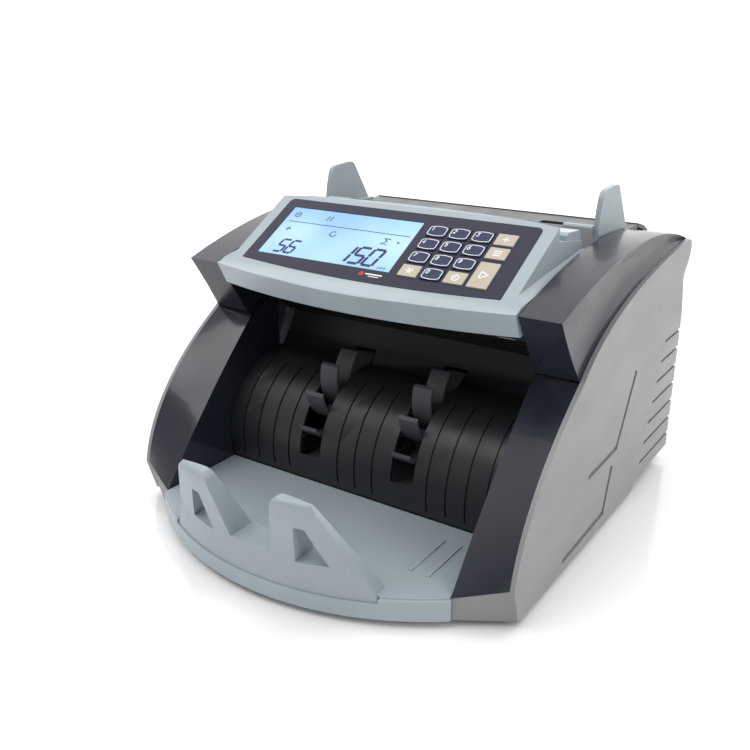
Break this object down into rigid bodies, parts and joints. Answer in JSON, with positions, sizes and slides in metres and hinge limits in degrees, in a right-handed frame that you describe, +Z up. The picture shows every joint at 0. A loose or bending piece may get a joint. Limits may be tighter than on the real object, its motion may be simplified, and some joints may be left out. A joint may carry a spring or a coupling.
{
  "type": "banknote counting machine",
  "caption": "Desktop banknote counter: rear hopper with sliding guides, sloping keypad and display, friction rollers, vaned stacker wheels and an open front pocket with note stops.",
  "frame": {"origin": "on the surface under the feet, at the middle of the overall width and depth", "axes": "+Z up, the stacker pocket and the control panel face -Y, +X is to the right when seen from the front"},
  "size_m": [0.246, 0.287, 0.1868],
  "materials": {
    "side_grey": "moulded, fine satin grain",
    "cap_charcoal": "polished charcoal moulding",
    "pillar_charcoal": "satin-gloss charcoal moulding",
    "shell_light": "light blue-grey moulding, fine grain",
    "panel_navy": "printed polyester sheet, satin",
    "lcd_blue": "backlit liquid crystal display",
    "key_navy": "navy key with a white outline and a digit",
    "key_beige": "beige key with a white symbol",
    "board_green": "printed circuit board",
    "bed_black": "black moulding",
    "guide_grey": "light grey moulding",
    "plated_steel": "zinc-plated sheet steel",
    "shaft_steel": "ground steel",
    "pad_rubber": "friction rubber",
    "tyre_rubber": "grooved rubber",
    "belt_rubber": "reinforced rubber",
    "foot_rubber": "moulded rubber",
    "knob_black": "knurled knob",
    "throat_black": "black moulding",
    "back_plate_dark": "dark grey moulding",
    "roller_grey": "moulded roller",
    "wheel_grey": "flexible moulded vanes",
    "encoder_metal": "blackened slotted disc",
    "motor_metal": "plated motor can",
    "pulley_aluminium": "turned pulley",
    "base_steel": "painted sheet steel",
    "transformer_iron": "varnished laminations and winding",
    "rear_grey": "dark grey moulding",
    "inlet_black": "black thermoset",
    "rocker_red": "red translucent rocker",
    "handle_black": "grained handle",
    "screw_black": "blackened screws"
  },
  "bodies": {
    "casing": {"left_side_cover": "side_grey", "right_side_cover": "side_grey", "left_top_cap": "cap_charcoal", "right_top_cap": "cap_charcoal", "left_front_pillar": "pillar_charcoal", "right_front_pillar": "pillar_charcoal", "console_housing": "shell_light", "panel_sheet": "panel_navy", "lcd_module": "lcd_blue", "keypad_board": "board_green", "hopper_bed": "bed_black", "upper_throat_plate": "throat_black", "pocket_back_plate": "back_plate_dark", "stacker_tray": "shell_light", "stacker_stops": "guide_grey", "shaft_bearings": "shaft_steel", "drive_belts": "belt_rubber", "drive_motor": "motor_metal", "left_frame": "plated_steel", "right_frame": "plated_steel", "cross_rods": "shaft_steel", "base_plate": "base_steel", "rubber_feet": "foot_rubber", "transformer": "transformer_iron", "main_board": "board_green", "rear_cover": "rear_grey", "power_inlet": "inlet_black", "housing_screws": "screw_black"},
    "left_guide": {"left_note_guide": "guide_grey"},
    "right_guide": {"right_note_guide": "guide_grey"},
    "feed_roller": {"feed_shaft": "shaft_steel", "feed_tyres": "tyre_rubber", "encoder_disc": "encoder_metal"},
    "pickup_roller": {"pickup_shaft": "shaft_steel", "pickup_tyres": "tyre_rubber"},
    "pinch_roller": {"pinch_shaft": "shaft_steel", "pinch_rollers": "roller_grey"},
    "stacker_roller": {"stacker_shaft": "shaft_steel", "stacker_wheels": "wheel_grey"},
    "motor_rotor": {"motor_pulley": "pulley_aluminium"},
    "thumb_screw": {"gap_screw": "knob_black"},
    "friction_arm": {"friction_holder": "plated_steel", "friction_pad": "pad_rubber"},
    "switch_rocker": {"power_rocker": "rocker_red"},
    "handle": {"carry_handle": "handle_black"},
    "key_0_cap": {"key_0": "key_navy"},
    "key_1_cap": {"key_1": "key_navy"},
    "key_2_cap": {"key_2": "key_navy"},
    "key_3_cap": {"key_3": "key_navy"},
    "key_4_cap": {"key_4": "key_navy"},
    "key_5_cap": {"key_5": "key_navy"},
    "key_6_cap": {"key_6": "key_navy"},
    "key_7_cap": {"key_7": "key_navy"},
    "key_8_cap": {"key_8": "key_navy"},
    "key_9_cap": {"key_9": "key_navy"},
    "key_add_cap": {"key_add": "key_beige"},
    "key_batch_cap": {"key_batch": "key_beige"},
    "key_value_cap": {"key_value": "key_beige"},
    "key_lamp_cap": {"key_lamp": "key_beige"},
    "key_start_cap": {"key_start": "key_beige"}
  },
  "joints": [
    {"name": "left_guide_slide", "type": "slide", "parent": "casing", "child": "left_guide", "axis": [1, 0, 0], "range_m": [0, 0.038]},
    {"name": "right_guide_slide", "type": "slide", "parent": "casing", "child": "right_guide", "axis": [-1, 0, 0], "range_m": [0, 0.038]},
    {"name": "key_0_press", "type": "slide", "parent": "casing", "child": "key_0_cap", "axis": [0, 0.4939, -0.8695], "range_m": [0, 0.0006], "stiffness_N_per_m": 1000},
    {"name": "key_1_press", "type": "slide", "parent": "casing", "child": "key_1_cap", "axis": [0, 0.4939, -0.8695], "range_m": [0, 0.0006], "stiffness_N_per_m": 1000},
    {"name": "key_2_press", "type": "slide", "parent": "casing", "child": "key_2_cap", "axis": [0, 0.4939, -0.8695], "range_m": [0, 0.0006], "stiffness_N_per_m": 1000},
    {"name": "key_3_press", "type": "slide", "parent": "casing", "child": "key_3_cap", "axis": [0, 0.4939, -0.8695], "range_m": [0, 0.0006], "stiffness_N_per_m": 1000},
    {"name": "key_4_press", "type": "slide", "parent": "casing", "child": "key_4_cap", "axis": [0, 0.4939, -0.8695], "range_m": [0, 0.0006], "stiffness_N_per_m": 1000},
    {"name": "key_5_press", "type": "slide", "parent": "casing", "child": "key_5_cap", "axis": [0, 0.4939, -0.8695], "range_m": [0, 0.0006], "stiffness_N_per_m": 1000},
    {"name": "key_6_press", "type": "slide", "parent": "casing", "child": "key_6_cap", "axis": [0, 0.4939, -0.8695], "range_m": [0, 0.0006], "stiffness_N_per_m": 1000},
    {"name": "key_7_press", "type": "slide", "parent": "casing", "child": "key_7_cap", "axis": [0, 0.4939, -0.8695], "range_m": [0, 0.0006], "stiffness_N_per_m": 1000},
    {"name": "key_8_press", "type": "slide", "parent": "casing", "child": "key_8_cap", "axis": [0, 0.4939, -0.8695], "range_m": [0, 0.0006], "stiffness_N_per_m": 1000},
    {"name": "key_9_press", "type": "slide", "parent": "casing", "child": "key_9_cap", "axis": [0, 0.4939, -0.8695], "range_m": [0, 0.0006], "stiffness_N_per_m": 1000},
    {"name": "key_add_press", "type": "slide", "parent": "casing", "child": "key_add_cap", "axis": [0, 0.4939, -0.8695], "range_m": [0, 0.0006], "stiffness_N_per_m": 1000},
    {"name": "key_batch_press", "type": "slide", "parent": "casing", "child": "key_batch_cap", "axis": [0, 0.4939, -0.8695], "range_m": [0, 0.0006], "stiffness_N_per_m": 1000},
    {"name": "key_value_press", "type": "slide", "parent": "casing", "child": "key_value_cap", "axis": [0, 0.4939, -0.8695], "range_m": [0, 0.0006], "stiffness_N_per_m": 1000},
    {"name": "key_lamp_press", "type": "slide", "parent": "casing", "child": "key_lamp_cap", "axis": [0, 0.4939, -0.8695], "range_m": [0, 0.0006], "stiffness_N_per_m": 1000},
    {"name": "key_start_press", "type": "slide", "parent": "casing", "child": "key_start_cap", "axis": [0, 0.4939, -0.8695], "range_m": [0, 0.0006], "stiffness_N_per_m": 1000},
    {"name": "feed_spin", "type": "hinge", "parent": "casing", "child": "feed_roller", "pos_m": [0, 0.04127, 0.11846], "axis": [1, 0, 0], "continuous": true},
    {"name": "pickup_spin", "type": "hinge", "parent": "casing", "child": "pickup_roller", "pos_m": [0, 0.07395, 0.13848], "axis": [1, 0, 0], "continuous": true},
    {"name": "pinch_spin", "type": "hinge", "parent": "casing", "child": "pinch_roller", "pos_m": [0, 0.01561, 0.1278], "axis": [1, 0, 0], "continuous": true},
    {"name": "stacker_spin", "type": "hinge", "parent": "casing", "child": "stacker_roller", "pos_m": [0, -0.00854, 0.048], "axis": [1, 0, 0], "continuous": true},
    {"name": "motor_spin", "type": "hinge", "parent": "casing", "child": "motor_rotor", "pos_m": [0, 0.09346, 0.062], "axis": [1, 0, 0], "continuous": true},
    {"name": "gap_turn", "type": "hinge", "parent": "casing", "child": "thumb_screw", "pos_m": [0, 0.02746, 0.162], "axis": [0, 0, 1], "range_deg": [-180, 180]},
    {"name": "friction_tilt", "type": "hinge", "parent": "casing", "child": "friction_arm", "pos_m": [0, 0.01346, 0.155], "axis": [1, 0, 0], "range_deg": [-0.6, 0.6]},
    {"name": "rocker_tilt", "type": "hinge", "parent": "casing", "child": "switch_rocker", "pos_m": [-0.0258, 0.13646, 0.031], "axis": [1, 0, 0], "range_deg": [0, 14]},
    {"name": "handle_swing", "type": "hinge", "parent": "casing", "child": "handle", "pos_m": [0, 0.13146, 0.104], "axis": [1, 0, 0], "range_deg": [0, 110]}
  ],
  "couplings": [
    {"joint": "pickup_spin", "follows": "feed_spin", "ratio": 1.2},
    {"joint": "stacker_spin", "follows": "feed_spin", "ratio": 0.33333},
    {"joint": "motor_spin", "follows": "feed_spin", "ratio": 1.8889},
    {"joint": "pinch_spin", "follows": "feed_spin", "ratio": -2.8571},
    {"joint": "friction_tilt", "follows": "gap_turn", "ratio": 0.003333}
  ]
}
